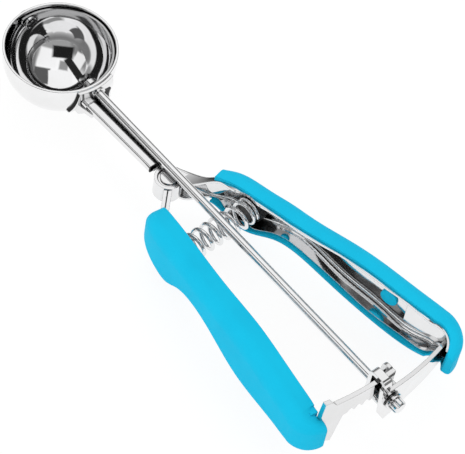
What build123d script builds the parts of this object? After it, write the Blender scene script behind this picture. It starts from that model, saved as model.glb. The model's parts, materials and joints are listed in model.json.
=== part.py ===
from build123d import *
from math import acos, asin, cos, degrees, pi, radians, sin, sqrt, tan
import os

os.makedirs("parts", exist_ok=True)

# Lever ice cream scoop, in millimetres. The origin is the centre of the bowl's rim circle.
# +X runs from the bowl along the drive rod to the handles, +Z points up out of the bowl.
# The fixed handle is on the +Y side and the squeezed lever on the -Y side.

# ---------------------------------------------------------------- driving dimensions
# Bowl
bowl_radius = 20.6
bowl_wall = 1.0
axis_depth = 3.6  # depth of the sphere centre, and of the rod, below the rim

# Sheet metal and fits
sheet = 1.1
running = 0.05  # radial clearance of every turning fit
rim_rounding = 0.25
wing_sheet = 1.2

# Frame wings that hug the bowl
wing_top_half_width = 7.4
wing_bottom_half_width = 9.5
wing_top = -0.6
wing_bottom = -12.2
wing_notch_half_width = 5.0  # the wings' lower edges rise to this notch under the stem
wing_notch_z = -9.0

# Stem between bowl and pivot
stem_end_x = 57.0
web_top = -6.2
stem_right_y = 2.8
stem_wall_bottom = -11.0
rib_left_y = -6.4
rib_right_y = -2.6
rib_end_left_y = -5.3  # the rib leans toward the rod at its rear end
rib_end_right_y = -1.9
rib_top = -4.3
rib_bottom = -7.7
rib_corner = 1.1
rib_sheet = 0.6
collar_proud = 0.5
collar_length = 2.4
stem_inside_bowl = 2.6  # how far the stem's blank runs inside the bowl's radius before it is cut
shoulder_length = 6.0
shoulder_left_y = -7.6
shoulder_right_y = 6.6
wing_hole_gap = 0.3

# Pivot between frame and lever
pivot_x = 63.4
pivot_y = -1.8
pivot_pin_radius = 2.5
ear_radius = 3.7
ear_bottom_top = -13.6  # upper face of the lower ear
ear_gap = 0.3
pin_head_radius = 3.0
pin_head_height = 0.6
knuckle_inner_radius = 4.0
knuckle_outer_radius = 5.1
knuckle_rim_top = -5.7
knuckle_rim_half_angle = 98.0
neck_angle = -46.5
neck_shift = 0.4  # sideways from the line through the pivot
neck_length = 26.6
neck_thickness = 2.9
neck_bottom = -13.3
neck_end_bottom = -9.6  # where the neck reaches the channel's back wall
neck_rise_start = 12.5
neck_rise_end = 16.0
neck_top = -6.2
slit_width = 0.35
slit_depth = 3.0
slit_end = 20.0

# Handles, measured along and outward from a line through the pivot
fixed_handle_angle = 12.0
fixed_handle_offset = 7.3
lever_handle_angle = -7.4
lever_handle_offset = 11.2
handle_depth = 8.8
grip_back = 1.8
grip_edge = 1.1
fixed_lip_gap = 0.9  # the fixed grip's upper lip stops short of the metal's edge
lever_lip_gap = -0.4  # the lever grip's upper lip runs past it
lower_lip_reach = 1.2  # both lower lips run past it
fixed_lower_trim = 1.5  # the fixed handle's lower flange is this much narrower
mouth_web_front = -0.25
mouth_web_back = 2.4
mouth_web_length = 2.5
mouth_web_top = 3.4
mouth_web_bottom = -6.0
cavity_reach = 1.0  # how far the channel's hollow runs past its flange tips
boss_radius = 3.3
boss_proud = 0.6
boss_stations = ((38.9, -2.6), (85.6, -8.1))

# Drive rod and scraper
rod_radius = 1.7
rod_inside_bowl = 5.0
rod_end_recess = 1.1  # from the pinion's outer end back to the rod's end inside it
rod_chamfer = 0.3
bushing_radius = 2.6
bushing_length = 1.8
blade_gap = 0.3
blade_thickness = 0.8
blade_half_width = 2.7
blade_end_half_width = 1.9
hub_radius = 2.6
hub_length = 1.9
far_pin_radius = 1.5
far_pin_head_radius = 2.5
far_pin_head_height = 0.8
far_pin_inside_bowl = 3.8
far_pin_outside_bowl = 1.0

# Rack and pinion
gear_module = 1.0
pinion_teeth = 8
pressure_angle = 28.0
tooth_addendum = 0.8
tooth_root_gap = 0.25
backlash = 0.3
pinion_far_gap = 1.0  # from the far leg to the pinion
pinion_near_gap = 0.6  # from the pinion to the near leg
journal_radius = 2.5
journal_chamfer = 0.5
retainer_gap = 0.5
retainer_width = 1.0
retainer_radius = 3.3
stub_length = 3.0
flute_count = 6
flute_radius = 0.9
flute_offset = 2.9
rack_radius = 109.0
rack_thickness = 1.6
rack_top = 8.6
rack_gap_count = 6
rack_flange_length = 12.0
rack_flange_sweep = 70.0
rack_flange_bottom = -10.0
rack_flange_top = 0.4
root_bottom = -14.6
root_bottom_y = -21.2
root_step_y = -18.6
root_tab_top = 11.4
root_tab_start_y = -22.4
root_tab_y = -24.4
root_tab_end_y = -26.6
root_tongue_top = 1.4
root_tongue_bottom = -11.6
stop_inner_y = 0.4
stop_bottom = 3.0
stop_top = 8.8
stop_width = 4.8
stop_corner = 2.0
stop_sheet = 1.3
stop_reach = 0.4  # how far the stop's blank runs past the rack's middle

# Guide arm with its saddle over the rack
arm_sheet = 1.5
rack_near_gap = 1.3  # from the rack to the near leg
rack_far_gap = 1.9  # from the far leg to the rack
strap_left_y = -5.6
strap_right_y = -2.6
strap_top = 10.3
strap_corner = 2.2
strap_bottom = 5.0
leg_top = 7.0
far_leg_half_width = 3.4
far_leg_top = 2.4
far_leg_bottom = -8.6
near_leg_left_y = -6.2
near_leg_corner_y = -4.3
near_leg_corner_z = -9.5
near_leg_tip_y = -1.6
near_leg_tip_z = -14.8
arm_lower_y = 9.0
arm_top = 3.4
arm_end_top = -1.5
arm_bottom = -11.4
arm_flange_length = 12.5
arm_flange_sweep = 52.0
tang_top = -2.0
tang_bottom = -12.5

# Return spring
spring_x = 88.1
spring_coil_radius = 4.2  # to the wire's centre
spring_wire_radius = 0.65
spring_rod_gap = 0.3
spring_turns = 9.0
spring_fixed_y = 15.4
spring_lever_y = -20.8
seat_disc_radius = 5.0
seat_stub_radius = 3.2
seat_stub_length = 3.0
seat_depth = 8.0  # longer than the space behind either seat

# ---------------------------------------------------------------- derived values
axis_z = -axis_depth
stem_start_x = bowl_radius - stem_inside_bowl
shoulder_start_x = bowl_radius + 0.5
shoulder_end_x = bowl_radius + shoulder_length
rod_inner_end_x = bowl_radius - rod_inside_bowl
bushing_end_x = bowl_radius + bushing_length
far_pin_inner_x = bowl_radius - far_pin_inside_bowl
far_pin_end_x = bowl_radius + far_pin_outside_bowl
arm_radius = rack_radius + rack_thickness / 2 + rack_near_gap + arm_sheet / 2
far_leg_radius = rack_radius - rack_thickness / 2 - rack_far_gap - arm_sheet / 2
pinion_start_x = pivot_x + far_leg_radius + arm_sheet / 2 + pinion_far_gap
pinion_end_x = pivot_x + arm_radius - arm_sheet / 2 - pinion_near_gap
rod_outer_end_x = pinion_end_x - rod_end_recess
retainer_x = pivot_x + arm_radius + arm_sheet / 2 + retainer_gap
journal_end_x = retainer_x + retainer_width + stub_length
fixed_hook_start = arm_radius - 6.1
lever_hook_start = rack_radius - 5.0
blade_outer_radius = bowl_radius - bowl_wall - blade_gap
blade_inner_radius = blade_outer_radius - blade_thickness
wing_radius = bowl_radius + wing_sheet
web_bottom = web_top - sheet
pitch_radius = gear_module * pinion_teeth / 2
pinion_tip_radius = pitch_radius + tooth_addendum * gear_module
pinion_root_radius = pitch_radius - tooth_addendum * gear_module - tooth_root_gap
rack_pitch_z = axis_z + pitch_radius
rack_tooth_z = rack_pitch_z - tooth_addendum * gear_module
rack_gap_z = rack_pitch_z + tooth_addendum * gear_module + tooth_root_gap
rack_pitch_angle = degrees(pi * gear_module / rack_radius)
mesh_angle = degrees(asin(-pivot_y / rack_radius))
spring_z = axis_z - rod_radius - spring_rod_gap - spring_coil_radius - spring_wire_radius
knuckle_bottom = ear_bottom_top + ear_gap
knuckle_top = web_bottom - ear_gap
fixed_back = fixed_handle_offset + handle_depth
lever_back = lever_handle_offset + handle_depth
grip_inner = grip_back + sheet


def save(part, name):
    """Name a finished piece and write it to its own file."""
    part.label = name
    export_step(part, f"parts/{name}.step")


# ---------------------------------------------------------------- handle frames
# A station is (distance along the handle, outward distance of its back, inward turn,
# depth from back to flange tips, top, bottom, corner radius).
def handle_side(side):
    """Angle and offset of the fixed (+1) or lever (-1) handle."""
    if side > 0:
        return fixed_handle_angle, fixed_handle_offset
    return lever_handle_angle, lever_handle_offset


def handle_point(side, along, out, height=0.0):
    """A point given along a handle and outward from its line."""
    angle = radians(handle_side(side)[0])
    x = pivot_x + along * cos(angle) - side * out * sin(angle)
    y = pivot_y + along * sin(angle) + side * out * cos(angle)
    return Vector(x, y, height)


def handle_plane(side, along, out, turn):
    """A vertical section plane whose x points outward and whose y points up."""
    heading = radians(handle_side(side)[0] - side * turn)
    outward = (-side * sin(heading), side * cos(heading), 0)
    forward = (side * cos(heading), side * sin(heading), 0)
    return Plane(origin=handle_point(side, along, out), x_dir=outward, z_dir=forward)


def wall_plane(side, out):
    """The plane of a handle's back wall: x along the handle, y up, z outward."""
    heading = radians(handle_side(side)[0])
    outward = (-side * sin(heading), side * cos(heading), 0)
    along = (side * -cos(heading), side * -sin(heading), 0)
    return Plane(origin=handle_point(side, 0, out), x_dir=along, z_dir=outward)


def handle_stations(side, hook_start, bottoms):
    """The straight part of a handle behind its front, at shares of the length to its hook."""
    back = handle_side(side)[1] + handle_depth
    shares = (0.235, 0.29, 0.35, 0.44, 0.555, 0.69, 0.825, 0.94)
    tops = (2.5, 2.8, 3.1, 3.4, 4.6, 6.2, 5.6, 4.7)
    corners = (5.0, 5.0, 4.6, 4.4, 4.8, 5.0, 5.0, 5.0)
    return [
        (share * hook_start, back, 0.0, handle_depth, top, bottom, corner)
        for share, top, bottom, corner in zip(shares, tops, bottoms, corners)
    ]


def hook_stations(side, start, radius, tip_out, first, last, tip):
    """Stations on the arc that turns a handle's back across its end, then to its tip.

    First, last and tip are (depth, top, bottom, corner) at 0 and 90 degrees and the tip.
    """
    back = handle_side(side)[1] + handle_depth
    stations = []
    for step in range(hook_steps + 1):
        part_way = step / hook_steps
        turn = 90.0 * part_way
        along = start + radius * sin(radians(turn))
        out = back - radius * (1 - cos(radians(turn)))
        shape = [a + (b - a) * part_way for a, b in zip(first, last)]
        stations.append((along, out, turn, *shape))
    return stations + [(start + radius, tip_out, 90.0, *tip)]


hook_steps = 4
fixed_hook_radius = 12.7
lever_hook_radius = 8.6
fixed_hook = hook_stations(
    1, fixed_hook_start, fixed_hook_radius, fixed_back - fixed_hook_radius - 2.4,
    (handle_depth, 4.2, -17.6, 5.0), (4.6, 1.8, -10.6, 2.4), (3.2, 1.0, -8.2, 2.0),
)
lever_hook = hook_stations(
    -1, lever_hook_start, lever_hook_radius, lever_back - lever_hook_radius - 0.6,
    (handle_depth, 4.0, -13.8, 5.0), (4.8, 2.2, -11.4, 2.4), (4.6, 2.1, -11.2, 2.3),
)
fixed_bottoms = (-18.2, -17.4, -13.9, -10.6, -12.6, -16.2, -18.6, -19.0)
lever_bottoms = (-18.6, -18.6, -14.0, -10.8, -12.4, -16.0, -15.6, -14.2)
fixed_straight = handle_stations(1, fixed_hook_start, fixed_bottoms)
lever_straight = handle_stations(-1, lever_hook_start, lever_bottoms)

# The grips' fronts, and the narrower fronts of the channels inside them.
fixed_grip_front = [
    (13.3, fixed_back - 2.2, 0.0, 6.6, -1.0, -15.6, 3.0),
    (18.3, fixed_back - 0.6, 0.0, 8.2, 1.0, -16.2, 4.2),
]
lever_grip_front = [
    (11.8, lever_back - 3.6, 0.0, 6.0, -2.2, -13.4, 2.8),
    (13.6, lever_back - 2.2, 0.0, 7.2, -0.4, -15.0, 3.6),
    (18.0, lever_back - 0.7, 0.0, 8.3, 1.4, -17.0, 4.4),
]
fixed_channel_front = [
    (13.3, fixed_back - 3.7, 0.0, 5.1, -2.0, -15.6, 2.6),
    (18.3, fixed_back - 1.0, 0.0, 7.8, 0.8, -16.0, 4.0),
]
lever_channel_front = [
    (12.6, lever_back - 3.8, 0.0, 5.0, -2.8, -14.0, 2.6),
    (18.0, lever_back - 1.1, 0.0, 7.7, 0.8, -16.4, 4.0),
]

# The fixed channel grows out of the stem: (x, y of its back, depth, top, bottom, corner).
flare = [
    (stem_end_x, stem_right_y + 0.1, 2.5, web_top, ear_bottom_top - sheet, 1.1),
    (60.0, 3.8, 3.4, web_top, ear_bottom_top - sheet, 1.3),
    (66.0, 6.9, 6.5, web_top, ear_bottom_top - sheet, 1.5),
    (70.0, 9.0, 7.2, -5.3, ear_bottom_top - sheet, 1.8),
]


def rib_section(x, growth):
    """The rib's outline at a distance along the stem, grown or shrunk all round."""
    share = (x - stem_start_x) / (stem_end_x - stem_start_x)
    left = rib_left_y + (rib_end_left_y - rib_left_y) * share
    right = rib_right_y + (rib_end_right_y - rib_right_y) * share
    width = right - left + 2 * growth
    height = rib_top - rib_bottom + 2 * growth
    with BuildSketch(Plane.YZ.offset(x)) as section:
        with Locations(((left + right) / 2, (rib_top + rib_bottom) / 2)):
            RectangleRounded(width, height, rib_corner + growth)
    return section.sketch.face()


def channel_section(plane, upper_depth, lower_depth, top, bottom, corner):
    """One C-shaped section, filled: its back on the plane's origin, its tips inward of it."""
    with BuildSketch(plane) as section:
        with BuildLine():
            FilletPolyline(
                (-upper_depth, top), (0, top), (0, bottom), (-lower_depth, bottom), radius=corner
            )
            Line((-lower_depth, bottom), (-upper_depth, top))
        make_face()
    return section.sketch.face()


def handle_section(side, station, back, edge, reach, lower_reach):
    """A handle's section at a station, inset from its back and edges, its tips moved inward."""
    along, out, turn, depth, top, bottom, corner = station
    base = handle_plane(side, along, out, turn)
    plane = Plane(origin=base.origin - base.x_dir * back, x_dir=base.x_dir, z_dir=base.z_dir)
    inner_corner = max(corner - back, 0.6)
    upper_depth = depth - back + reach
    lower_depth = depth - back + lower_reach
    return channel_section(plane, upper_depth, lower_depth, top - edge, bottom + edge, inner_corner)


def handle_solid(side, straight, hook, back, edge, reach, lower_reach, start=()):
    """Loft a handle's straight run, after any flare it grows from, and then its hook."""
    sections = []
    for x, y, depth, top, bottom, corner in start:
        inset = back - grip_back
        plane = Plane(origin=(x, y - inset, 0), x_dir=(0, 1, 0), z_dir=(1, 0, 0))
        inner_corner = max(corner - inset, 0.4)
        inner_depth = depth - inset + reach
        sections.append(
            channel_section(
                plane, inner_depth, inner_depth, top - inset, bottom + inset, inner_corner
            )
        )
    for station in straight + hook[:1]:
        sections.append(handle_section(side, station, back, edge, reach, lower_reach))
    with BuildPart() as run:
        loft(sections)
    with BuildPart() as end:
        loft([handle_section(side, station, back, edge, reach, lower_reach) for station in hook])
    return run.part + end.part


def bowl_core(radius):
    """The bowl's outer form at a given radius, filled in and running past the rim."""
    with BuildPart() as core:
        with BuildSketch(Plane.XZ):
            with BuildLine():
                Line((0, 5), (radius, 5))
                Line((radius, 5), (radius, axis_z))
                CenterArc((0, axis_z), radius, 0, -90)
                Line((0, axis_z - radius), (0, 5))
            make_face()
        revolve(axis=Axis.Z)
    return core.part


def boss_holes(side, radius, outer, inner):
    """Round posts through a handle's back wall, between two outward distances."""
    with BuildPart() as posts:
        for along, height in boss_stations:
            with BuildSketch(wall_plane(side, outer)):
                with Locations((-side * along, height)):
                    Circle(radius)
            extrude(amount=inner - outer)
    return posts.part


def around_pivot(mid_radius, thickness, bottom, top):
    """A ring of plate on edge, centred on the pivot."""
    with BuildPart() as ring:
        with BuildSketch(Plane.XY.offset(bottom)):
            with Locations((pivot_x, pivot_y)):
                Circle(mid_radius + thickness / 2)
                Circle(mid_radius - thickness / 2, mode=Mode.SUBTRACT)
        extrude(amount=top - bottom)
    return ring.part


def curved_plate(mid_radius, thickness, outline):
    """A plate on edge, curved about the pivot, cut to an outline seen along X."""
    with BuildPart() as plate:
        heights = [point[1] for point in outline]
        add(around_pivot(mid_radius, thickness, min(heights) - 1, max(heights) + 1))
        with BuildSketch(Plane.YZ.offset(pivot_x + mid_radius / 2)):
            with BuildLine():
                Polyline(*outline, close=True)
            make_face()
        extrude(amount=mid_radius, mode=Mode.INTERSECT)
    return plate.part


def wall_end_y(side, hook_start):
    """Where a curved plate stops: halfway through a channel's depth, at its hook's start."""
    return handle_point(side, hook_start, handle_side(side)[1] + handle_depth / 2).Y


def wall_flange(side, start, hook_start, hook_radius, thickness, sweep, bottom, top):
    """A strip against a handle's back wall that follows the start of its hook."""
    wall = handle_side(side)[1] + handle_depth - grip_inner
    angle = radians(handle_side(side)[0])
    base = Plane(
        origin=handle_point(side, 0, 0, bottom),
        x_dir=(cos(angle), sin(angle), 0),
        z_dir=(0, 0, 1),
    )
    inner_radius = hook_radius - grip_inner
    centre_out = wall - inner_radius
    reach = hook_radius * 1.5
    with BuildPart() as strip:
        with BuildSketch(base):
            with Locations((hook_start, side * centre_out)):
                Circle(inner_radius + 1)
                Circle(inner_radius - thickness, mode=Mode.SUBTRACT)
            with BuildLine():
                Polyline(
                    (hook_start, side * centre_out),
                    (hook_start, side * (centre_out + reach)),
                    (
                        hook_start + reach * sin(radians(sweep)),
                        side * (centre_out + reach * cos(radians(sweep))),
                    ),
                    close=True,
                )
            make_face(mode=Mode.INTERSECT)
            with BuildLine():
                Polyline(
                    (start, side * (wall - thickness)),
                    (hook_start, side * (wall - thickness)),
                    (hook_start, side * (wall + 1)),
                    (start, side * (wall + 1)),
                    close=True,
                )
            make_face()
        extrude(amount=top - bottom)
    return strip.part


# ---------------------------------------------------------------- bowl
with BuildPart() as bowl:
    with BuildSketch(Plane.XZ):
        with BuildLine():
            Line((bowl_radius - bowl_wall, 0), (bowl_radius, 0))
            Line((bowl_radius, 0), (bowl_radius, axis_z))
            CenterArc((0, axis_z), bowl_radius, 0, -90)
            Line((0, axis_z - bowl_radius), (0, axis_z - bowl_radius + bowl_wall))
            CenterArc((0, axis_z), bowl_radius - bowl_wall, 0, -90)
            Line((bowl_radius - bowl_wall, axis_z), (bowl_radius - bowl_wall, 0))
        make_face()
    revolve(axis=Axis.Z)
    rim_edges = bowl.edges().filter_by(GeomType.CIRCLE).group_by(Axis.Z)[-1]
    fillet(rim_edges, radius=rim_rounding)
    with BuildSketch(Plane.YZ):
        with Locations((0, axis_z)):
            Circle(rod_radius + running)
    extrude(amount=bowl_radius + 1, mode=Mode.SUBTRACT)
    with BuildSketch(Plane.YZ):
        with Locations((0, axis_z)):
            Circle(far_pin_radius)
    extrude(amount=-bowl_radius - 1, mode=Mode.SUBTRACT)
save(bowl.part, "bowl")

# ---------------------------------------------------------------- frame
cavity_edge = grip_edge + sheet
fixed_run = fixed_channel_front + fixed_straight
past_lips = lower_lip_reach + cavity_reach
fixed_outer = handle_solid(
    1, fixed_run, fixed_hook[:-1], grip_back, grip_edge, 0.0, -fixed_lower_trim, flare
)
fixed_cavity = handle_solid(
    1, fixed_run, fixed_hook[:-1], grip_inner, cavity_edge, cavity_reach, cavity_reach, flare
)
fixed_grip_body = handle_solid(
    1, fixed_grip_front + fixed_straight, fixed_hook, 0.0, 0.0, -fixed_lip_gap,
    lower_lip_reach - fixed_lower_trim,
)
fixed_bed = handle_solid(
    1, fixed_run, fixed_hook[:-1], grip_back, grip_edge, past_lips, past_lips, flare
)

with BuildPart() as wings:
    add(bowl_core(wing_radius))
    add(bowl_core(bowl_radius), mode=Mode.SUBTRACT)
    with BuildSketch(Plane.YZ):
        with BuildLine():
            Polyline(
                (-wing_top_half_width, wing_top),
                (wing_top_half_width, wing_top),
                (wing_bottom_half_width, wing_bottom),
                (wing_notch_half_width, wing_notch_z),
                (-wing_notch_half_width, wing_notch_z),
                (-wing_bottom_half_width, wing_bottom),
                close=True,
            )
        make_face()
    extrude(amount=wing_radius + 1, mode=Mode.INTERSECT)

with BuildPart() as frame:
    # stem web and right wall
    with BuildSketch(Plane.YZ.offset(stem_start_x)):
        with BuildLine():
            Polyline(
                (rib_right_y - sheet, web_top),
                (stem_right_y, web_top),
                (stem_right_y, stem_wall_bottom),
                (stem_right_y - sheet, stem_wall_bottom),
                (stem_right_y - sheet, web_bottom),
                (rib_right_y - sheet, web_bottom),
                close=True,
            )
        make_face()
    extrude(amount=stem_end_x + sheet / 2 - stem_start_x)
    # left rib, a closed tube with a collar where it leaves the shoulder
    for start_x, end_x, proud in (
        (stem_start_x, stem_end_x, 0.0),
        (shoulder_start_x, shoulder_start_x + collar_length, collar_proud),
    ):
        loft([rib_section(start_x, proud), rib_section(end_x, proud)])
    # shoulders that spread from the stem to the wings, hollow below
    for inset, start_z in ((0.0, web_top), (sheet, web_bottom)):
        with BuildSketch(Plane.XY.offset(start_z)):
            with BuildLine():
                right = Spline(
                    (shoulder_start_x, shoulder_right_y - inset),
                    (shoulder_end_x, stem_right_y - inset),
                    tangents=((0.6, -1), (1, 0)),
                )
                Polyline(
                    right @ 1,
                    (shoulder_end_x, rib_left_y + inset),
                    (shoulder_start_x, shoulder_left_y + inset),
                    (stem_start_x, shoulder_left_y + inset),
                    (stem_start_x, shoulder_right_y - inset),
                    right @ 0,
                )
            make_face()
        shoulder_mode = Mode.ADD if inset == 0 else Mode.SUBTRACT
        extrude(amount=stem_wall_bottom - start_z, mode=shoulder_mode)
    # the left shoulder's lower edge rises from the wing's tip to the collar
    with BuildSketch(Plane.XZ.offset(sheet - shoulder_left_y)):
        with BuildLine():
            Polyline(
                (bowl_radius, stem_wall_bottom),
                (shoulder_start_x + collar_length, rib_bottom - collar_proud),
                (shoulder_end_x + sheet, rib_bottom - collar_proud),
                (shoulder_end_x + sheet, stem_wall_bottom - sheet),
                (bowl_radius, stem_wall_bottom - sheet),
                close=True,
            )
        make_face()
    extrude(amount=shoulder_left_y - sheet - rib_right_y, mode=Mode.SUBTRACT)
    # flared channel of the fixed handle
    add(fixed_outer)
    add(fixed_cavity, mode=Mode.SUBTRACT)
    # two ears that hold the pivot pin
    for ear_top in (web_top, ear_bottom_top):
        with BuildSketch(Plane.XY.offset(ear_top)):
            with Locations((pivot_x, pivot_y)):
                Circle(ear_radius)
            with BuildLine():
                Polyline(
                    (pivot_x - ear_radius, pivot_y),
                    (pivot_x + ear_radius, pivot_y),
                    (pivot_x + ear_radius, stem_right_y + 2 * sheet),
                    (pivot_x - ear_radius, stem_right_y),
                    close=True,
                )
            make_face()
        extrude(amount=-sheet)
    with BuildSketch(Plane.XY.offset(web_top)):
        with Locations((pivot_x, pivot_y)):
            Circle(pivot_pin_radius)
    extrude(amount=ear_bottom_top - sheet - web_top, mode=Mode.SUBTRACT)
    add(boss_holes(1, boss_radius, fixed_back, fixed_back - grip_inner - 1), mode=Mode.SUBTRACT)
    # the rib is hollow from its rear end to the shoulder
    loft(
        [rib_section(shoulder_end_x, -rib_sheet), rib_section(stem_end_x, -rib_sheet)],
        mode=Mode.SUBTRACT,
    )
    # clear the bowl, add the wings that are brazed to it, and open the rod's hole
    add(bowl_core(bowl_radius), mode=Mode.SUBTRACT)
    add(wings.part)
    with BuildSketch(Plane.YZ.offset(stem_start_x)):
        with Locations((0, axis_z)):
            Circle(rod_radius + wing_hole_gap)
    extrude(amount=shoulder_end_x - stem_start_x, mode=Mode.SUBTRACT)
save(frame.part, "frame")

with BuildPart() as frame_grip:
    add(fixed_grip_body)
    add(fixed_bed, mode=Mode.SUBTRACT)
    add(boss_holes(1, boss_radius, fixed_back - grip_back / 2, fixed_back - grip_inner - boss_proud))
save(frame_grip.part, "frame_grip")

# ---------------------------------------------------------------- pivot
with BuildPart() as pivot_pin:
    for radius, top, bottom in (
        (pivot_pin_radius, web_top, ear_bottom_top - sheet),
        (pin_head_radius, web_top + pin_head_height, web_top),
        (pin_head_radius, ear_bottom_top - sheet, ear_bottom_top - sheet - pin_head_height),
    ):
        with BuildSketch(Plane.XY.offset(bottom)):
            with Locations((pivot_x, pivot_y)):
                Circle(radius)
        extrude(amount=top - bottom)
    head_rims = pivot_pin.edges().filter_by(GeomType.CIRCLE).group_by(Axis.Z)
    fillet(head_rims[-1] + head_rims[0], radius=pin_head_height / 2)
save(pivot_pin.part, "pivot_pin")

with BuildPart() as pivot_bushing:
    with BuildSketch(Plane.XY.offset(knuckle_bottom)):
        with Locations((pivot_x, pivot_y)):
            Circle(knuckle_inner_radius)
            Circle(pivot_pin_radius + running, mode=Mode.SUBTRACT)
    extrude(amount=knuckle_top - knuckle_bottom)
save(pivot_bushing.part, "pivot_bushing")

# ---------------------------------------------------------------- lever
lever_run = lever_channel_front + lever_straight
lever_outer = handle_solid(-1, lever_run, lever_hook, grip_back, grip_edge, 0.0, 0.0)
lever_cavity = handle_solid(
    -1, lever_run, lever_hook, grip_inner, cavity_edge, cavity_reach, cavity_reach
)
lever_grip_body = handle_solid(
    -1, lever_grip_front + lever_straight, lever_hook, 0.0, 0.0, -lever_lip_gap, lower_lip_reach
)
lever_bed = handle_solid(-1, lever_run, lever_hook, grip_back, grip_edge, past_lips, past_lips)

with BuildPart() as lever:
    add(lever_outer)
    add(lever_cavity, mode=Mode.SUBTRACT)
    add(boss_holes(-1, boss_radius, lever_back, lever_back - grip_inner - 1), mode=Mode.SUBTRACT)
    # folded neck from the knuckle into the channel
    neck_plane = Plane(
        origin=(
            pivot_x - neck_shift * sin(radians(neck_angle)),
            pivot_y + neck_shift * cos(radians(neck_angle)),
            0,
        ),
        x_dir=(cos(radians(neck_angle)), sin(radians(neck_angle)), 0),
        z_dir=(sin(radians(neck_angle)), -cos(radians(neck_angle)), 0),
    )
    with BuildSketch(neck_plane):
        with BuildLine():
            Polyline(
                (0, neck_top),
                (neck_length, neck_top),
                (neck_length, neck_end_bottom),
                (neck_rise_end, neck_end_bottom),
                (neck_rise_start, neck_bottom),
                (0, neck_bottom),
                close=True,
            )
        make_face()
    extrude(amount=neck_thickness / 2, both=True)
    # the neck is one strip folded double, with a slit between its leaves
    with BuildSketch(neck_plane):
        with BuildLine():
            Polyline(
                (knuckle_inner_radius, neck_top + 1),
                (slit_end, neck_top + 1),
                (slit_end, neck_top - slit_depth),
                (knuckle_inner_radius, neck_top - slit_depth),
                close=True,
            )
        make_face()
    extrude(amount=slit_width / 2, both=True, mode=Mode.SUBTRACT)
    # knuckle and its raised rim, open toward the fixed handle
    with BuildSketch(Plane.XY.offset(knuckle_bottom)):
        with Locations((pivot_x, pivot_y)):
            Circle(knuckle_outer_radius)
    extrude(amount=knuckle_top - knuckle_bottom)
    with BuildSketch(Plane.XY.offset(knuckle_top)):
        with Locations((pivot_x, pivot_y)):
            Circle(knuckle_outer_radius)
        with BuildLine():
            reach = 2 * knuckle_outer_radius
            drop = reach * sin(radians(90 - knuckle_rim_half_angle))
            side_reach = reach * cos(radians(90 - knuckle_rim_half_angle))
            Polyline(
                (pivot_x, pivot_y),
                (pivot_x + side_reach, pivot_y - drop),
                (pivot_x + side_reach, pivot_y + reach),
                (pivot_x - side_reach, pivot_y + reach),
                (pivot_x - side_reach, pivot_y - drop),
                close=True,
            )
        make_face(mode=Mode.SUBTRACT)
    extrude(amount=knuckle_rim_top - knuckle_top)
    with BuildSketch(Plane.XY.offset(neck_bottom - 1)):
        with Locations((pivot_x, pivot_y)):
            Circle(knuckle_inner_radius)
    extrude(amount=knuckle_rim_top + 1 - neck_bottom + 1, mode=Mode.SUBTRACT)
save(lever.part, "lever")

with BuildPart() as lever_grip:
    add(lever_grip_body)
    add(lever_bed, mode=Mode.SUBTRACT)
    # web that closes the mouth between the lips and the hook, in front of the rack
    web_corners = [
        handle_point(-1, lever_hook_start + along, lever_handle_offset + out)
        for along, out in ((-1.0, mouth_web_front), (mouth_web_length, mouth_web_front),
                           (mouth_web_length, mouth_web_back), (-1.0, mouth_web_back))
    ]
    with BuildSketch(Plane.XY.offset(mouth_web_bottom)):
        with BuildLine():
            Polyline(*[(corner.X, corner.Y) for corner in web_corners], close=True)
        make_face()
    extrude(amount=mouth_web_top - mouth_web_bottom)
    add(boss_holes(-1, boss_radius, lever_back - grip_back / 2, lever_back - grip_inner - boss_proud))
    add(lever.part, mode=Mode.SUBTRACT)
save(lever_grip.part, "lever_grip")

# ---------------------------------------------------------------- drive rod and scraper
with BuildPart() as drive_rod:
    with BuildSketch(Plane.YZ.offset(rod_inner_end_x)):
        with Locations((0, axis_z)):
            Circle(rod_radius)
    extrude(amount=rod_outer_end_x - rod_inner_end_x)
    chamfer(drive_rod.faces().sort_by(Axis.X)[0].edges(), length=rod_chamfer)
save(drive_rod.part, "drive_rod")

with BuildPart() as rod_bushing:
    with BuildSketch(Plane.YZ.offset(bowl_radius - 1)):
        with Locations((0, axis_z)):
            Circle(bushing_radius)
            Circle(rod_radius + running, mode=Mode.SUBTRACT)
    extrude(amount=bushing_end_x - bowl_radius + 1)
    add(bowl_core(bowl_radius), mode=Mode.SUBTRACT)
    add(frame.part, mode=Mode.SUBTRACT)
save(rod_bushing.part.solids().sort_by(Axis.X)[-1], "rod_bushing")

with BuildPart() as scraper_blade:
    with Locations((0, 0, axis_z)):
        Sphere(blade_outer_radius)
        Sphere(blade_inner_radius, mode=Mode.SUBTRACT)
    with BuildSketch(Plane.XZ.offset(blade_end_half_width + 0.7)):
        with BuildLine():
            Polyline(
                (-bowl_radius, axis_z - blade_end_half_width),
                (0, axis_z - blade_half_width),
                (bowl_radius, axis_z - blade_end_half_width),
                (bowl_radius, axis_z + blade_end_half_width),
                (0, axis_z + blade_half_width),
                (-bowl_radius, axis_z + blade_end_half_width),
                close=True,
            )
        make_face()
    extrude(amount=-bowl_radius - 5, mode=Mode.INTERSECT)
    for direction, radius in ((1, rod_radius), (-1, far_pin_radius + running)):
        with BuildSketch(Plane.YZ):
            with Locations((0, axis_z)):
                Circle(radius)
        extrude(amount=direction * bowl_radius, mode=Mode.SUBTRACT)
save(scraper_blade.part, "scraper_blade")

with BuildPart() as scraper_hub:
    with BuildSketch(Plane.YZ.offset(blade_inner_radius - hub_length)):
        with Locations((0, axis_z)):
            Circle(hub_radius)
            Circle(rod_radius, mode=Mode.SUBTRACT)
    extrude(amount=hub_length + 1)
    with Locations((0, 0, axis_z)):
        Sphere(blade_inner_radius, mode=Mode.INTERSECT)
save(scraper_hub.part, "scraper_hub")

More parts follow.
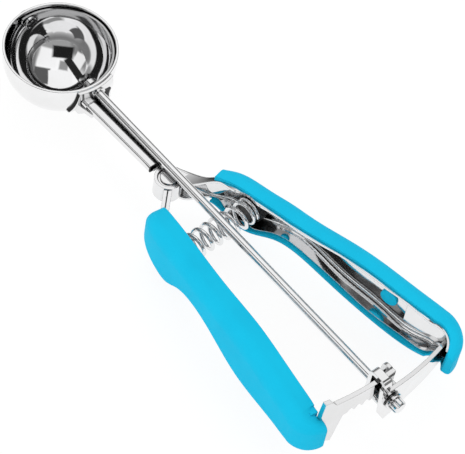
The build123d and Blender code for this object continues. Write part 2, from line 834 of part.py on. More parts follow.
with BuildPart() as far_pin:
    with BuildSketch(Plane.YZ.offset(-far_pin_end_x)):
        with Locations((0, axis_z)):
            Circle(far_pin_radius)
    extrude(amount=far_pin_end_x - far_pin_inner_x)
    with BuildSketch(Plane.YZ.offset(-far_pin_inner_x - far_pin_head_height)):
        with Locations((0, axis_z)):
            Circle(far_pin_head_radius)
    extrude(amount=far_pin_head_height)
    with BuildSketch(Plane.YZ.offset(-far_pin_end_x)):
        with Locations((0, axis_z)):
            Circle(far_pin_head_radius)
    extrude(amount=far_pin_end_x - bowl_radius + 0.5)
    far_rims = far_pin.edges().filter_by(GeomType.CIRCLE).group_by(Axis.X)
    fillet(far_rims[0] + far_rims[-1], radius=far_pin_head_height / 2)
with BuildPart() as bowl_shell:
    add(bowl_core(bowl_radius))
    add(bowl_core(bowl_radius - bowl_wall), mode=Mode.SUBTRACT)
    with BuildSketch(Plane.YZ.offset(-bowl_radius - 1)):
        with Locations((0, axis_z)):
            Circle(far_pin_radius)
    extrude(amount=bowl_radius, mode=Mode.SUBTRACT)
with BuildPart() as far_pin_seated:
    add(far_pin.part)
    add(bowl_shell.part, mode=Mode.SUBTRACT)
save(far_pin_seated.part, "far_pin")


# ---------------------------------------------------------------- rack and pinion
def involute(angle):
    """The involute function of a pressure angle in degrees."""
    return tan(radians(angle)) - radians(angle)


def tooth_half_angle(radius):
    """Half the angle a pinion tooth spans at a radius, in degrees."""
    base_radius = pitch_radius * cos(radians(pressure_angle))
    local_angle = degrees(acos(min(1.0, base_radius / radius)))
    half_thickness = (pi * gear_module / 2 - backlash / 2) / 2
    half_angle = half_thickness / pitch_radius + involute(pressure_angle) - involute(local_angle)
    return degrees(half_angle)


flank_base = pitch_radius * cos(radians(pressure_angle))
flank_radii = [flank_base + (pinion_tip_radius - flank_base) * step / 4 for step in range(5)]


def flank_point(radius, spread):
    """A point of the upright tooth, to one side of its middle by an angle."""
    angle = radians(90 + spread)
    return (radius * cos(angle), axis_z + radius * sin(angle))


with BuildPart() as pinion:
    with BuildSketch(Plane.YZ.offset(pinion_start_x)):
        with Locations((0, axis_z)):
            Circle(pinion_root_radius)
    extrude(amount=pinion_end_x - pinion_start_x)
    root_angle = tooth_half_angle(flank_base)
    tooth_plane = Plane.YZ.offset(pinion_start_x)
    for index in range(pinion_teeth):
        turn = 360.0 / pinion_teeth * index
        turned = tooth_plane.move(Location((0, 0, 0)))
        with BuildSketch(turned, mode=Mode.PRIVATE) as tooth:
            with BuildLine():
                left = Spline(*[flank_point(radius, tooth_half_angle(radius)) for radius in flank_radii])
                right = Spline(*[flank_point(radius, -tooth_half_angle(radius)) for radius in flank_radii])
                Line(left @ 1, right @ 1)
                Line(left @ 0, flank_point(pinion_root_radius - 0.3, root_angle))
                Line(right @ 0, flank_point(pinion_root_radius - 0.3, -root_angle))
                Line(
                    flank_point(pinion_root_radius - 0.3, root_angle),
                    flank_point(pinion_root_radius - 0.3, -root_angle),
                )
            make_face()
        rod_axis = Axis((0, 0, axis_z), (1, 0, 0))
        extrude(tooth.sketch.face().rotate(rod_axis, turn), amount=pinion_end_x - pinion_start_x, dir=(1, 0, 0))
    with BuildSketch(Plane.YZ.offset(pinion_end_x)):
        with Locations((0, axis_z)):
            Circle(journal_radius)
    extrude(amount=journal_end_x - pinion_end_x)
    chamfer(pinion.faces().sort_by(Axis.X)[-1].edges(), length=journal_chamfer)
    with BuildSketch(Plane.YZ.offset(retainer_x + retainer_width)):
        with Locations((0, axis_z)):
            with PolarLocations(flute_offset, flute_count):
                Circle(flute_radius)
    extrude(amount=stub_length + 1, mode=Mode.SUBTRACT)
    with BuildSketch(Plane.YZ.offset(pinion_start_x)):
        with Locations((0, axis_z)):
            Circle(rod_radius)
    extrude(amount=rod_outer_end_x - pinion_start_x, mode=Mode.SUBTRACT)
save(pinion.part, "pinion")

with BuildPart() as pinion_retainer:
    with BuildSketch(Plane.YZ.offset(retainer_x)):
        with Locations((0, axis_z)):
            Circle(retainer_radius)
            Circle(journal_radius, mode=Mode.SUBTRACT)
    extrude(amount=retainer_width)
save(pinion_retainer.part, "pinion_retainer")

rack_end_y = wall_end_y(-1, lever_hook_start)
rack_outline = (
    (stop_inner_y + stop_sheet, rack_top),
    (root_tab_start_y, rack_top),
    (root_tab_y, root_tab_top),
    (root_tab_end_y, root_tab_top),
    (root_tab_end_y - 1, root_tongue_top),
    (rack_end_y, root_tongue_top),
    (rack_end_y, root_tongue_bottom),
    (root_tab_end_y, root_tongue_bottom),
    (root_bottom_y, root_bottom),
    (root_step_y, rack_tooth_z),
    (stop_inner_y + stop_sheet, rack_tooth_z),
)
rack_band = curved_plate(rack_radius, rack_thickness, rack_outline)
rack_flange = wall_flange(
    -1, lever_hook_start - rack_flange_length, lever_hook_start, lever_hook_radius,
    rack_thickness, rack_flange_sweep, rack_flange_bottom, rack_flange_top,
)
with BuildPart() as rack_root:
    add(rack_band)
    add(rack_flange)
    add(lever_cavity, mode=Mode.INTERSECT)
with BuildPart() as rack:
    add(rack_band)
    add(lever_grip_body, mode=Mode.SUBTRACT)
    add(lever_outer, mode=Mode.SUBTRACT)
    add(rack_root.part)
    # teeth, cut along lines through the pivot
    for index in range(rack_gap_count):
        angle = radians(mesh_angle - index * rack_pitch_angle)
        gap_plane = Plane(
            origin=(pivot_x, pivot_y, rack_pitch_z),
            x_dir=(-sin(angle), cos(angle), 0),
            z_dir=(cos(angle), sin(angle), 0),
        )
        half_gap = (pi * gear_module / 2 + backlash / 2) / 2
        slope = tan(radians(pressure_angle))
        below = rack_pitch_z - rack_tooth_z + 0.2
        above = rack_gap_z - rack_pitch_z
        with BuildSketch(gap_plane.offset(rack_radius - rack_thickness)):
            with BuildLine():
                Polyline(
                    (-half_gap - below * slope, -below),
                    (half_gap + below * slope, -below),
                    (half_gap - above * slope, above),
                    (-half_gap + above * slope, above),
                    close=True,
                )
            make_face()
        extrude(amount=2 * rack_thickness, mode=Mode.SUBTRACT)
    # stop ear bent across the free end
    with BuildSketch(Plane.XZ.offset(-stop_inner_y)):
        stop_x = pivot_x + rack_radius - stop_width / 2 + stop_reach
        with Locations((stop_x, (stop_bottom + stop_top) / 2)):
            RectangleRounded(stop_width, stop_top - stop_bottom, stop_corner)
    extrude(amount=-stop_sheet)
save(rack.part, "rack")

# ---------------------------------------------------------------- guide arm
arm_end_y = wall_end_y(1, fixed_hook_start)
near_outline = (
    (strap_left_y, leg_top),
    (strap_right_y, leg_top),
    (strap_right_y, arm_top),
    (arm_end_y, arm_end_top),
    (arm_end_y, arm_bottom),
    (arm_lower_y, arm_bottom),
    (near_leg_tip_y, near_leg_tip_z),
    (near_leg_corner_y, near_leg_corner_z),
    (near_leg_left_y, leg_top),
)
far_outline = (
    (strap_left_y, leg_top),
    (strap_right_y, leg_top),
    (strap_right_y, far_leg_top),
    (far_leg_half_width, far_leg_top),
    (far_leg_half_width, far_leg_bottom),
    (-far_leg_half_width, far_leg_bottom),
    (strap_left_y, axis_z),
)
near_plate = curved_plate(arm_radius, arm_sheet, near_outline)
far_plate = curved_plate(far_leg_radius, arm_sheet, far_outline)
# the strap over the rack, one sheet bent down at both ends
with BuildPart() as strap:
    with BuildSketch(Plane.XZ.offset(-pivot_y)):
        for inset in (0.0, arm_sheet):
            far_side = pivot_x + far_leg_radius - arm_sheet / 2 + inset
            near_side = pivot_x + arm_radius + arm_sheet / 2 - inset
            with BuildLine():
                FilletPolyline(
                    (far_side, strap_bottom),
                    (far_side, strap_top - inset),
                    (near_side, strap_top - inset),
                    (near_side, strap_bottom),
                    radius=strap_corner - inset,
                )
                Line((near_side, strap_bottom), (far_side, strap_bottom))
            make_face(mode=Mode.ADD if inset == 0 else Mode.SUBTRACT)
    revolve(axis=Axis((pivot_x, pivot_y, 0), (0, 0, 1)), revolution_arc=360)
    with BuildSketch(Plane.YZ.offset(pivot_x + rack_radius / 2)):
        with Locations(((strap_left_y + strap_right_y) / 2, strap_bottom)):
            Rectangle(strap_right_y - strap_left_y, 2 * strap_top)
    extrude(amount=rack_radius, mode=Mode.INTERSECT)
arm_flange = wall_flange(
    1, fixed_hook_start - arm_flange_length, fixed_hook_start, fixed_hook_radius,
    arm_sheet, arm_flange_sweep, tang_bottom, tang_top,
)
with BuildPart() as arm_root:
    add(near_plate)
    add(arm_flange)
    add(fixed_cavity, mode=Mode.INTERSECT)
with BuildPart() as guide_arm:
    add(near_plate)
    add(fixed_grip_body, mode=Mode.SUBTRACT)
    add(fixed_outer, mode=Mode.SUBTRACT)
    add(arm_root.part)
    add(far_plate)
    add(strap.part)
    for leg_radius, radius in ((far_leg_radius, rod_radius), (arm_radius, journal_radius)):
        with BuildSketch(Plane.YZ.offset(pivot_x + leg_radius - 2 * arm_sheet)):
            with Locations((0, axis_z)):
                Circle(radius + running)
        extrude(amount=4 * arm_sheet, mode=Mode.SUBTRACT)
save(guide_arm.part, "guide_arm")


# ---------------------------------------------------------------- return spring
def spring_seat(face_y, direction, cavity, keep_out):
    """A cup that fills a channel behind the spring, with a stub inside the coil."""
    with BuildPart() as seat:
        with BuildSketch(Plane.XZ.offset(-face_y)):
            with Locations((spring_x, spring_z)):
                Circle(seat_disc_radius)
        extrude(amount=-direction * seat_depth)
        add(cavity, mode=Mode.INTERSECT)
        with BuildSketch(Plane.XZ.offset(-face_y)):
            with Locations((spring_x, spring_z)):
                Circle(seat_stub_radius)
        extrude(amount=direction * seat_stub_length)
        add(keep_out, mode=Mode.SUBTRACT)
    return seat.part


save(spring_seat(spring_fixed_y, 1, fixed_cavity, frame.part), "spring_seat_fixed")
save(spring_seat(spring_lever_y, -1, lever_cavity, lever.part), "spring_seat_lever")

spring_height = spring_fixed_y - spring_lever_y - 2 * spring_wire_radius
with BuildPart() as spring:
    with BuildLine() as coil:
        Helix(
            pitch=spring_height / spring_turns,
            height=spring_height,
            radius=spring_coil_radius,
            center=(spring_x, spring_lever_y + spring_wire_radius, spring_z),
            direction=(0, 1, 0),
        )
    with BuildSketch(Plane(origin=coil.line @ 0, z_dir=coil.line % 0)):
        Circle(spring_wire_radius)
    sweep()
save(spring.part, "spring")
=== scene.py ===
"""Lever ice cream scoop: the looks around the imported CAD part. Everything is in metres."""

import json
import math

import bpy
from mathutils import Matrix, Vector


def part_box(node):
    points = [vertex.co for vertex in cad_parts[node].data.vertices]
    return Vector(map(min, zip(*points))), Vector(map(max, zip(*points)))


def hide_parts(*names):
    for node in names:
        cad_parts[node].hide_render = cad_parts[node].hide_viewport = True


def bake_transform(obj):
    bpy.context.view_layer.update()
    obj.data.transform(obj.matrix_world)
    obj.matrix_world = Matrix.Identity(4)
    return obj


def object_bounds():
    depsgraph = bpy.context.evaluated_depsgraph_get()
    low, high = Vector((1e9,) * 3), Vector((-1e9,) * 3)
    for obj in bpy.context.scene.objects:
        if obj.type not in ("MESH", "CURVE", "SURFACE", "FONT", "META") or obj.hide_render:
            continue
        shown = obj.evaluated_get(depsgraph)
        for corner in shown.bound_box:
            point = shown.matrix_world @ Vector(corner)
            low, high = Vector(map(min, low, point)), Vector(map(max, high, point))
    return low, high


MM = 0.001

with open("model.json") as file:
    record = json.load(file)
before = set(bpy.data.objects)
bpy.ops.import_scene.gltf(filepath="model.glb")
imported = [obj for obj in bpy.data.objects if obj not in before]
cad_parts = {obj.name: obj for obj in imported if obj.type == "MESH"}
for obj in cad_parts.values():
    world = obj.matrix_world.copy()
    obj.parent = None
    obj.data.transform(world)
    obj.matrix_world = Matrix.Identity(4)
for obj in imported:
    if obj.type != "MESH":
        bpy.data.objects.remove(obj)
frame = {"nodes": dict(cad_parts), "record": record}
cad_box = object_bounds()
nodes = frame["nodes"]
scene = bpy.context.scene

# ---------------------------------------------------------------- camera
camera_place = Vector((394.8, -351.6, 647.9)) * MM
camera_target = Vector((93.2, 1.6, -3.6)) * MM
camera_roll = math.radians(11.35)
camera_lens = 182.57  # millimetres, as the film is
film_width = 36.0
nearest_seen = 0.01
furthest_seen = 50.0


def facing(place, target):
    """The matrix of a camera or lamp that stands at one point and looks at another."""
    turn = (target - place).to_track_quat("-Z", "Y").to_matrix().to_4x4()
    return Matrix.Translation(place) @ turn


camera_data = bpy.data.cameras.new("camera")
camera_data.lens = camera_lens
camera_data.sensor_width = film_width
camera_data.clip_start = nearest_seen
camera_data.clip_end = furthest_seen
camera = bpy.data.objects.new("camera", camera_data)
scene.collection.objects.link(camera)
camera.matrix_world = facing(camera_place, camera_target) @ Matrix.Rotation(camera_roll, 4, "Z")
scene.camera = camera
scene.view_settings.view_transform = "Standard"

# ---------------------------------------------------------------- material helpers
noise_range = (0.3, 0.7)  # where most of a noise texture's values lie


def new_material(name):
    """A fresh material with its tree, its Principled shader and its object coordinates."""
    material = bpy.data.materials.new(name)
    material.use_nodes = True
    tree = material.node_tree
    shader = tree.nodes["Principled BSDF"]
    coords = tree.nodes.new("ShaderNodeTexCoord")
    return material, tree, shader, coords.outputs["Object"]


def noise(tree, vector, scale, detail, roughness=0.5, stretch=(1.0, 1.0, 1.0)):
    """Noise over object space, in features per metre, drawn out along an axis."""
    mapping = tree.nodes.new("ShaderNodeMapping")
    mapping.inputs["Scale"].default_value = stretch
    tree.links.new(vector, mapping.inputs["Vector"])
    texture = tree.nodes.new("ShaderNodeTexNoise")
    texture.inputs["Scale"].default_value = scale
    texture.inputs["Detail"].default_value = detail
    texture.inputs["Roughness"].default_value = roughness
    tree.links.new(mapping.outputs["Vector"], texture.inputs["Vector"])
    return texture.outputs["Fac"]


def spread(tree, value, low, high, source=noise_range):
    """Map a value from its source range onto another one."""
    mapped = tree.nodes.new("ShaderNodeMapRange")
    mapped.inputs["From Min"].default_value = source[0]
    mapped.inputs["From Max"].default_value = source[1]
    mapped.inputs["To Min"].default_value = low
    mapped.inputs["To Max"].default_value = high
    tree.links.new(value, mapped.inputs["Value"])
    return mapped.outputs["Result"]


def vector_math(tree, operation, value, constant=None):
    """One vector node with a fixed second input; gives its vector or its value."""
    node = tree.nodes.new("ShaderNodeVectorMath")
    node.operation = operation
    tree.links.new(value, node.inputs[0])
    if constant is not None:
        node.inputs[1].default_value = constant
    return node.outputs["Value" if operation == "DOT_PRODUCT" else "Vector"]


def single_math(tree, operation, *values):
    """One number node over linked values."""
    node = tree.nodes.new("ShaderNodeMath")
    node.operation = operation
    for socket, value in zip(node.inputs, values):
        tree.links.new(value, socket)
    return node.outputs["Value"]


def two_tone(tree, value, dark, light):
    """Mix two colours by a noise value."""
    ramp = tree.nodes.new("ShaderNodeValToRGB")
    for element, position, colour in zip(ramp.color_ramp.elements, noise_range, (dark, light)):
        element.position = position
        element.color = (*colour, 1.0)
    tree.links.new(value, ramp.inputs["Fac"])
    return ramp.outputs["Color"]


def shaded(tree, colour, shade):
    """A colour times a number."""
    product = tree.nodes.new("ShaderNodeVectorMath")
    product.operation = "SCALE"
    tree.links.new(colour, product.inputs["Vector"])
    tree.links.new(shade, product.inputs["Scale"])
    return product.outputs["Vector"]


def bump(tree, height, distance, strength, normal):
    """A bump layer over another normal."""
    layer = tree.nodes.new("ShaderNodeBump")
    layer.inputs["Distance"].default_value = distance
    layer.inputs["Strength"].default_value = strength
    tree.links.new(height, layer.inputs["Height"])
    tree.links.new(normal, layer.inputs["Normal"])
    return layer.outputs["Normal"]


def rounded_edges(tree, radius):
    """A normal that rounds the sharp edges of a cut sheet."""
    edge = tree.nodes.new("ShaderNodeBevel")
    edge.samples = 6
    edge.inputs["Radius"].default_value = radius
    return edge.outputs["Normal"]


def painted_shade_in_corners(tree, colour, reach, darkest_painted_shade):
    """A colour with painted shade in grooves and hollows: darker where the surface is enclosed."""
    occlusion = tree.nodes.new("ShaderNodeAmbientOcclusion")
    occlusion.samples = 8
    occlusion.inputs["Distance"].default_value = reach
    enclosed_to_open = (0.1, 0.7)
    shade = spread(tree, occlusion.outputs["AO"], darkest_painted_shade, 1.0, source=enclosed_to_open)
    return shaded(tree, colour, shade)


def painted_dark_in_box(tree, place, colour, centre, halves, turn):
    """The colour, painted near black inside one box of object space that is turned about X."""
    unlit = 0.01
    box_edge = (0.98, 1.02)
    rotation = tree.nodes.new("ShaderNodeVectorRotate")
    rotation.rotation_type = "X_AXIS"
    rotation.inputs["Angle"].default_value = -turn
    tree.links.new(vector_math(tree, "SUBTRACT", place, centre), rotation.inputs["Vector"])
    shares = vector_math(tree, "DIVIDE", rotation.outputs["Vector"], halves)
    parts = tree.nodes.new("ShaderNodeSeparateXYZ")
    tree.links.new(vector_math(tree, "ABSOLUTE", shares), parts.inputs["Vector"])
    furthest = single_math(tree, "MAXIMUM", parts.outputs["X"], parts.outputs["Y"])
    furthest = single_math(tree, "MAXIMUM", furthest, parts.outputs["Z"])
    return shaded(tree, colour, spread(tree, furthest, unlit, 1.0, source=box_edge))


# ---------------------------------------------------------------- finishes
smudge_scale = 90.0
polishing_line_scale = 900.0
polishing_line_roughness = 0.65
polishing_line_depth = 0.01 * MM
polishing_line_strength = 0.25
wave_scale = 55.0
wave_depth = 0.4 * MM
smudged_tone = 0.93  # over the clean metal's tone
blue_cast = 1.01
smudge_roughness = 0.6  # at most, over the finish's gloss value
least_line_roughness = 0.5
grip_dark = (0.0052, 0.550, 0.840)
grip_light = (0.0064, 0.592, 0.890)
grip_cloud_scale = 60.0
grip_grain_scale = 3200.0
grip_grain_strength = 0.35
grip_roughness = (0.58, 0.72)
grip_specular = 0.12
grip_edge = 0.5 * MM
plastic_dark = (0.012, 0.012, 0.013)
plastic_light = (0.024, 0.024, 0.026)
plastic_mottle_scale = 700.0
plastic_mottle_strength = 0.3
plastic_roughness = (0.35, 0.5)
plastic_edge = 0.3 * MM
moulding_grain_depth = 0.03 * MM


def steel(
    name,
    tone,
    gloss,
    grain=(1.0, 1.0, 1.0),
    waviness=0.25,
    edge=0.25 * MM,
    painted_shade_reach=6 * MM,
    darkest_painted_shade=0.12,
    painted_dark_boxes=(),
):
    """Polished stainless steel: fine polishing lines, a slight waviness, faint smudges and painted
    shade in its grooves and hollows.

    Painted dark boxes: each a centre, half sizes and a turn about X, inside which the colour is
    painted near black.
    """
    material, tree, shader, place = new_material(name)
    shader.inputs["Metallic"].default_value = 1.0
    smudge = noise(tree, place, smudge_scale, detail=4.0)
    lines = noise(
        tree,
        place,
        polishing_line_scale,
        detail=5.0,
        roughness=polishing_line_roughness,
        stretch=grain,
    )
    waves = noise(tree, place, wave_scale, detail=1.0)
    dark = (tone * smudged_tone,) * 3
    light = (tone, tone, tone * blue_cast)
    # painted shade: darker in grooves and hollows, and near black inside the painted dark boxes
    colour = painted_shade_in_corners(tree, two_tone(tree, smudge, dark, light), painted_shade_reach, darkest_painted_shade)
    for centre, halves, turn in painted_dark_boxes:
        colour = painted_dark_in_box(tree, place, colour, centre, halves, turn)
    tree.links.new(colour, shader.inputs["Base Color"])
    smudged = spread(tree, smudge, 0.0, gloss * smudge_roughness)
    lined = spread(tree, lines, gloss * least_line_roughness, gloss)
    tree.links.new(single_math(tree, "ADD", smudged, lined), shader.inputs["Roughness"])
    normal = bump(tree, waves, wave_depth, waviness, rounded_edges(tree, edge))
    normal = bump(tree, lines, polishing_line_depth, polishing_line_strength, normal)
    tree.links.new(normal, shader.inputs["Normal"])
    return material


def soft_grip(name):
    """Soft-touch moulding: an even colour with a fine matt texture."""
    material, tree, shader, place = new_material(name)
    cloud = noise(tree, place, grip_cloud_scale, detail=3.0)
    grain = noise(tree, place, grip_grain_scale, detail=2.0)
    tree.links.new(two_tone(tree, cloud, grip_dark, grip_light), shader.inputs["Base Color"])
    tree.links.new(spread(tree, grain, *grip_roughness), shader.inputs["Roughness"])
    shader.inputs["Specular IOR Level"].default_value = grip_specular
    edges = rounded_edges(tree, grip_edge)
    normal = bump(tree, grain, moulding_grain_depth, grip_grain_strength, edges)
    tree.links.new(normal, shader.inputs["Normal"])
    return material


def dark_plastic(name):
    """Moulded near-black plastic with a faint mottle."""
    material, tree, shader, place = new_material(name)
    mottle = noise(tree, place, plastic_mottle_scale, detail=3.0)
    tree.links.new(two_tone(tree, mottle, plastic_dark, plastic_light), shader.inputs["Base Color"])
    tree.links.new(spread(tree, mottle, *plastic_roughness), shader.inputs["Roughness"])
    edges = rounded_edges(tree, plastic_edge)
    normal = bump(tree, mottle, moulding_grain_depth, plastic_mottle_strength, edges)
    tree.links.new(normal, shader.inputs["Normal"])
    return material


along_x = (0.04, 1.0, 1.0)
along_y = (1.0, 0.06, 1.0)
along_z = (1.0, 1.0, 0.08)
# the stem's rib is a tube: painted shade, near black, in its bore and at its rear end with the
# sheet's edges
rib_bore_painted_shade = (Vector((41.9, -4.0, -6.0)) * MM, Vector((15.0, 1.25, 1.15)) * MM, 0.0)
rib_end_painted_shade = (Vector((57.0, -3.6, -6.0)) * MM, Vector((0.15, 1.8, 1.8)) * MM, 0.0)
# a band painted near black along the edge of the left wing, which leans this far across and down
wing_edge_run = (2.1, -11.6)
wing_edge_dark_band = (
    Vector((20.0, -8.42, -6.3)) * MM,
    Vector((3.5, 0.14, 5.6)) * MM,
    math.atan2(*wing_edge_run) + math.pi,
)
finishes = {
    "bowl_steel": steel(
        "bowl_steel", 0.90, 0.035, along_z, waviness=0.04, painted_shade_reach=2 * MM, darkest_painted_shade=0.4
    ),
    "frame_steel": steel(
        "frame_steel", 0.86, 0.07, along_x, painted_shade_reach=5 * MM, darkest_painted_shade=0.3,
        painted_dark_boxes=(rib_bore_painted_shade, rib_end_painted_shade, wing_edge_dark_band),
    ),
    "lever_steel": steel("lever_steel", 0.84, 0.08, along_x),
    "rod_steel": steel(
        "rod_steel", 0.90, 0.05, along_x, waviness=0.03, painted_shade_reach=3 * MM, darkest_painted_shade=0.6
    ),
    "rack_steel": steel("rack_steel", 0.80, 0.10, along_y, painted_shade_reach=4 * MM, darkest_painted_shade=0.2),
    "pin_steel": steel("pin_steel", 0.84, 0.06, waviness=0.06, edge=0.2 * MM, painted_shade_reach=3 * MM),
    "spring_steel": steel(
        "spring_steel", 0.88, 0.05, waviness=0.03, painted_shade_reach=5 * MM, darkest_painted_shade=0.1
    ),
    "grip_rubber": soft_grip("grip_rubber"),
    "seat_plastic": dark_plastic("seat_plastic"),
}
for part in frame["record"]["subparts"]:
    materials = nodes[part["node"]].data.materials
    materials.clear()
    materials.append(finishes[part["material_slot"]])
# the blade shares the rod's slot but is a darker steel
nodes["scraper_blade"].data.materials[0] = steel(
    "blade_steel", 0.50, 0.10, waviness=0.06, painted_shade_reach=3 * MM, darkest_painted_shade=0.25
)

# ---------------------------------------------------------------- return spring
wire_radius = 0.75 * MM
coil_growth = 0.25 * MM
coil_turns = 10.5
end_turns = 1.2
end_pitch = 1.02  # of the end turns, over the wire's thickness
close_share = 0.5  # of the end turns, before the pitch starts to open
wire_corners = 14
steps_per_turn = 40


def coil_mesh(name, start, end, coil_radius):
    """A compression spring from one point to another, whose end turns lie close together."""
    steps = int(coil_turns * steps_per_turn)
    travel = (end - start).length - 2 * wire_radius
    closed = 2 * end_turns * 2 * wire_radius * end_pitch
    open_pitch = (travel - closed) / (coil_turns - 2 * end_turns)
    close_pitch = closed / (2 * end_turns)
    direction = (end - start).normalized()
    sideways = Vector((1, 0, 0))
    upward = direction.cross(sideways)
    centres = []
    along = 0.0
    for step in range(steps + 1):
        turn = step / steps_per_turn
        edge = min(turn, coil_turns - turn)
        share = min(1.0, max(0.0, (edge - end_turns * close_share) / end_turns))
        ease = share * share * (3 - 2 * share)
        angle = 2 * math.pi * turn
        centres.append((along, math.cos(angle) * sideways + math.sin(angle) * upward))
        along += (close_pitch + (open_pitch - close_pitch) * ease) / steps_per_turn
    stretch = travel / centres[-1][0]
    vertices = []
    for along, radial in centres:
        place = start + direction * (wire_radius + along * stretch) + radial * coil_radius
        for corner in range(wire_corners):
            spin = 2 * math.pi * corner / wire_corners
            offset = radial * math.cos(spin) + direction * math.sin(spin)
            vertices.append(place + offset * wire_radius)
    faces = []
    for step in range(steps):
        for corner in range(wire_corners):
            a = step * wire_corners + corner
            b = step * wire_corners + (corner + 1) % wire_corners
            faces.append((a, b, b + wire_corners, a + wire_corners))
    faces.append(tuple(reversed(range(wire_corners))))
    faces.append(tuple(range(steps * wire_corners, (steps + 1) * wire_corners)))
    mesh = bpy.data.meshes.new(name)
    mesh.from_pydata(vertices, [], faces)
    mesh.polygons.foreach_set("use_smooth", [True] * len(mesh.polygons))
    mesh.update()
    coil = bpy.data.objects.new(name, mesh)
    scene.collection.objects.link(coil)
    return coil


spring_low, spring_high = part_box("spring")
spring_middle = (spring_low + spring_high) / 2
spring_radius = (spring_high.x - spring_low.x) / 2
fixed_end = Vector((spring_middle.x, spring_high.y, spring_middle.z))
lever_end = Vector((spring_middle.x, spring_low.y, spring_middle.z))
coil = coil_mesh("return_coil", fixed_end, lever_end, spring_radius - wire_radius + coil_growth)
coil.data.materials.append(finishes["spring_steel"])
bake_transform(coil)
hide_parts("spring")

# ---------------------------------------------------------------- floor
floor_size = 6.0
floor_albedo = 0.88  # for the rays that light the object
floor_shown_albedo = 0.16  # for the rays that see the floor, on top of its glow
floor_glow = 0.88


def seen_rays(tree):
    """1 for camera, glossy and transmitted rays, 0 for the rays that light things."""
    rays = tree.nodes.new("ShaderNodeLightPath").outputs
    seen = single_math(tree, "MAXIMUM", rays["Is Camera Ray"], rays["Is Glossy Ray"])
    return single_math(tree, "MAXIMUM", seen, rays["Is Transmission Ray"])


def white_floor():
    """A pale floor that shows white where it is lit and keeps the shadow."""
    material = bpy.data.materials.new("floor_white")
    material.use_nodes = True
    tree = material.node_tree
    tree.nodes.clear()
    output = tree.nodes.new("ShaderNodeOutputMaterial")
    matt = tree.nodes.new("ShaderNodeBsdfDiffuse")
    glow = tree.nodes.new("ShaderNodeEmission")
    seen = seen_rays(tree)
    albedo = spread(tree, seen, floor_albedo, floor_shown_albedo, source=(0.0, 1.0))
    tree.links.new(albedo, matt.inputs["Color"])
    strength = spread(tree, seen, 0.0, floor_glow, source=(0.0, 1.0))
    tree.links.new(strength, glow.inputs["Strength"])
    both = tree.nodes.new("ShaderNodeAddShader")
    tree.links.new(matt.outputs["BSDF"], both.inputs[0])
    tree.links.new(glow.outputs["Emission"], both.inputs[1])
    tree.links.new(both.outputs["Shader"], output.inputs["Surface"])
    return material


half = floor_size / 2
floor_z = cad_box[0][2]
corners = ((-half, -half), (half, -half), (half, half), (-half, half))
floor_mesh = bpy.data.meshes.new("floor")
floor_mesh.from_pydata([(x, y, floor_z) for x, y in corners], [], [(0, 1, 2, 3)])
floor = bpy.data.objects.new("floor", floor_mesh)
scene.collection.objects.link(floor)
floor.data.materials.append(white_floor())

# ---------------------------------------------------------------- world
fill_strength = 0.97
# What polished metal mirrors, laid out as the bowl shows it to the camera: across and down from
# board_centre, the direction from the bowl to the camera, in units where a whole mirror ball is
# mirror_ball_radius wide each way. The boards stay where they are when the camera moves.
board_centre = Vector((0.471, -0.419, 0.777)).normalized()
board_right = Vector((0.642, 0.758, 0.114))
board_right = (board_right - board_right.dot(board_centre) * board_centre).normalized()
board_up = board_centre.cross(board_right)
mirror_ball_radius = 55.0
# Each board: centre across and down, half width and height, turn in degrees, softness, grey.
boards = (
    (3.0, -14.0, 22.0, 13.0, 0.0, 0.4, 0.36),
    (20.0, 2.0, 6.0, 16.0, -15.0, 0.3, 0.25),
    (-28.0, 0.0, 5.0, 20.0, 8.0, 0.3, 0.22),
    (-19.0, 22.0, 8.0, 8.0, 10.0, 0.1, 0.11),
    (-12.0, 4.0, 9.5, 9.0, 15.0, 0.12, 1.0),
    (18.5, 8.0, 5.5, 8.0, 30.0, 0.12, 0.95),
    (0.0, 27.0, 12.0, 10.0, 0.0, 0.05, 1.0),
    (3.5, 12.5, 4.5, 4.5, 10.0, 0.2, 0.32),
    (3.0, -1.0, 10.5, 6.0, 6.0, 0.12, 0.015),
    (14.5, 16.5, 14.0, 3.7, 56.0, 0.08, 0.02),
    (22.0, -13.0, 6.0, 9.0, -25.0, 0.3, 0.07),
    (-20.0, -15.0, 9.0, 4.5, -25.0, 0.3, 0.12),
    (38.0, 2.0, 4.0, 20.0, -8.0, 0.1, 0.05),
    (-12.0, -36.0, 26.0, 3.5, -8.0, 0.1, 0.06),
    (-48.0, 10.0, 6.0, 30.0, 0.0, 0.1, 0.05),
    (46.0, 24.0, 5.0, 16.0, 20.0, 0.1, 0.08),
)
# The walls behind the boards. Each stop: the direction's Z, from level to straight up, and grey.
wall_stops = (
    (0.0, 0.5), (0.02, 0.03), (0.19, 0.04), (0.27, 0.20), (0.5, 0.40), (0.62, 0.6), (0.70, 1.05)
)


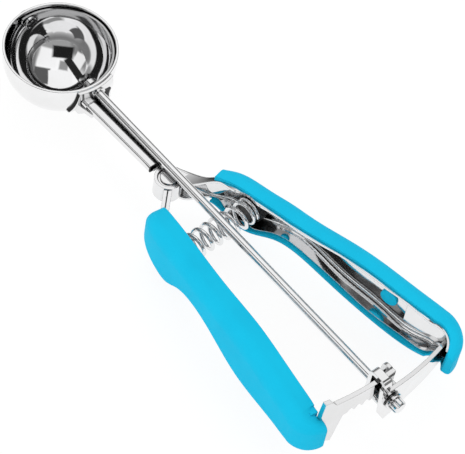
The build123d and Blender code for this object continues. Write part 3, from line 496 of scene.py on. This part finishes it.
def studio_greys(tree, direction):
    """The grey that a mirror finds in each direction: pale walls, a dark horizon and boards."""
    parts = tree.nodes.new("ShaderNodeSeparateXYZ")
    tree.links.new(direction, parts.inputs["Vector"])
    walls = tree.nodes.new("ShaderNodeValToRGB")
    while len(walls.color_ramp.elements) < len(wall_stops):
        walls.color_ramp.elements.new(0.5)
    for element, (position, grey) in zip(walls.color_ramp.elements, wall_stops):
        element.position = position
        element.color = (grey, grey, grey, 1.0)
    tree.links.new(parts.outputs["Z"], walls.inputs["Fac"])
    shade = walls.outputs["Color"]
    halfway = vector_math(tree, "NORMALIZE", vector_math(tree, "ADD", direction, board_centre))
    across = vector_math(tree, "DOT_PRODUCT", halfway, board_right * -mirror_ball_radius)
    down = vector_math(tree, "DOT_PRODUCT", halfway, board_up * mirror_ball_radius)
    place = tree.nodes.new("ShaderNodeCombineXYZ")
    tree.links.new(across, place.inputs["X"])
    tree.links.new(down, place.inputs["Y"])
    for centre_x, centre_y, half_width, half_height, turn, softness, grey in boards:
        angle = math.radians(turn)
        offset = vector_math(tree, "SUBTRACT", place.outputs["Vector"], (centre_x, centre_y, 0.0))
        wide = (math.cos(angle) / half_width, math.sin(angle) / half_width, 0.0)
        high = (-math.sin(angle) / half_height, math.cos(angle) / half_height, 0.0)
        sides = [
            single_math(tree, "ABSOLUTE", vector_math(tree, "DOT_PRODUCT", offset, axis))
            for axis in (wide, high)
        ]
        edge = single_math(tree, "MAXIMUM", *sides)
        inside = spread(tree, edge, 1.0, 0.0, source=(1 - softness, 1 + softness))
        layer = tree.nodes.new("ShaderNodeMix")
        layer.data_type = "RGBA"
        tree.links.new(inside, layer.inputs["Factor"])
        tree.links.new(shade, layer.inputs["A"])
        layer.inputs["B"].default_value = (grey, grey, grey, 1.0)
        shade = layer.outputs["Result"]
    return shade


def studio_world():
    """Plain light on everything; a studio of pale walls and dark boards for reflections."""
    world = bpy.data.worlds.new("studio")
    scene.world = world
    world.use_nodes = True
    tree = world.node_tree
    tree.nodes.clear()
    output = tree.nodes.new("ShaderNodeOutputWorld")
    rays = tree.nodes.new("ShaderNodeLightPath").outputs
    fill = tree.nodes.new("ShaderNodeBackground")
    fill.inputs["Strength"].default_value = fill_strength
    white = tree.nodes.new("ShaderNodeBackground")
    white.inputs["Color"].default_value = (1.0, 1.0, 1.0, 1.0)
    mirrored = tree.nodes.new("ShaderNodeBackground")
    coords = tree.nodes.new("ShaderNodeTexCoord")
    tree.links.new(studio_greys(tree, coords.outputs["Generated"]), mirrored.inputs["Color"])
    reflected = tree.nodes.new("ShaderNodeMixShader")
    tree.links.new(rays["Is Glossy Ray"], reflected.inputs["Fac"])
    tree.links.new(fill.outputs["Background"], reflected.inputs[1])
    tree.links.new(mirrored.outputs["Background"], reflected.inputs[2])
    shown = tree.nodes.new("ShaderNodeMixShader")
    tree.links.new(rays["Is Camera Ray"], shown.inputs["Fac"])
    tree.links.new(reflected.outputs["Shader"], shown.inputs[1])
    tree.links.new(white.outputs["Background"], shown.inputs[2])
    tree.links.new(shown.outputs["Shader"], output.inputs["Surface"])


studio_world()

# ---------------------------------------------------------------- lamps
lamp_target = Vector((0.09, 0.0, 0.0))


def softbox(name, place, width, height, power):
    """A rectangular lamp that faces the object and that metal doesn't mirror."""
    data = bpy.data.lights.new(name, "AREA")
    data.shape = "RECTANGLE"
    data.size = width
    data.size_y = height
    data.energy = power
    lamp = bpy.data.objects.new(name, data)
    lamp.visible_glossy = False
    scene.collection.objects.link(lamp)
    lamp.matrix_world = facing(Vector(place), lamp_target)


softbox("key_light", (-0.25, 0.35, 0.95), width=0.8, height=0.6, power=1.3)
softbox("side_light", (0.20, -1.0, 0.40), width=0.8, height=0.5, power=2.0)
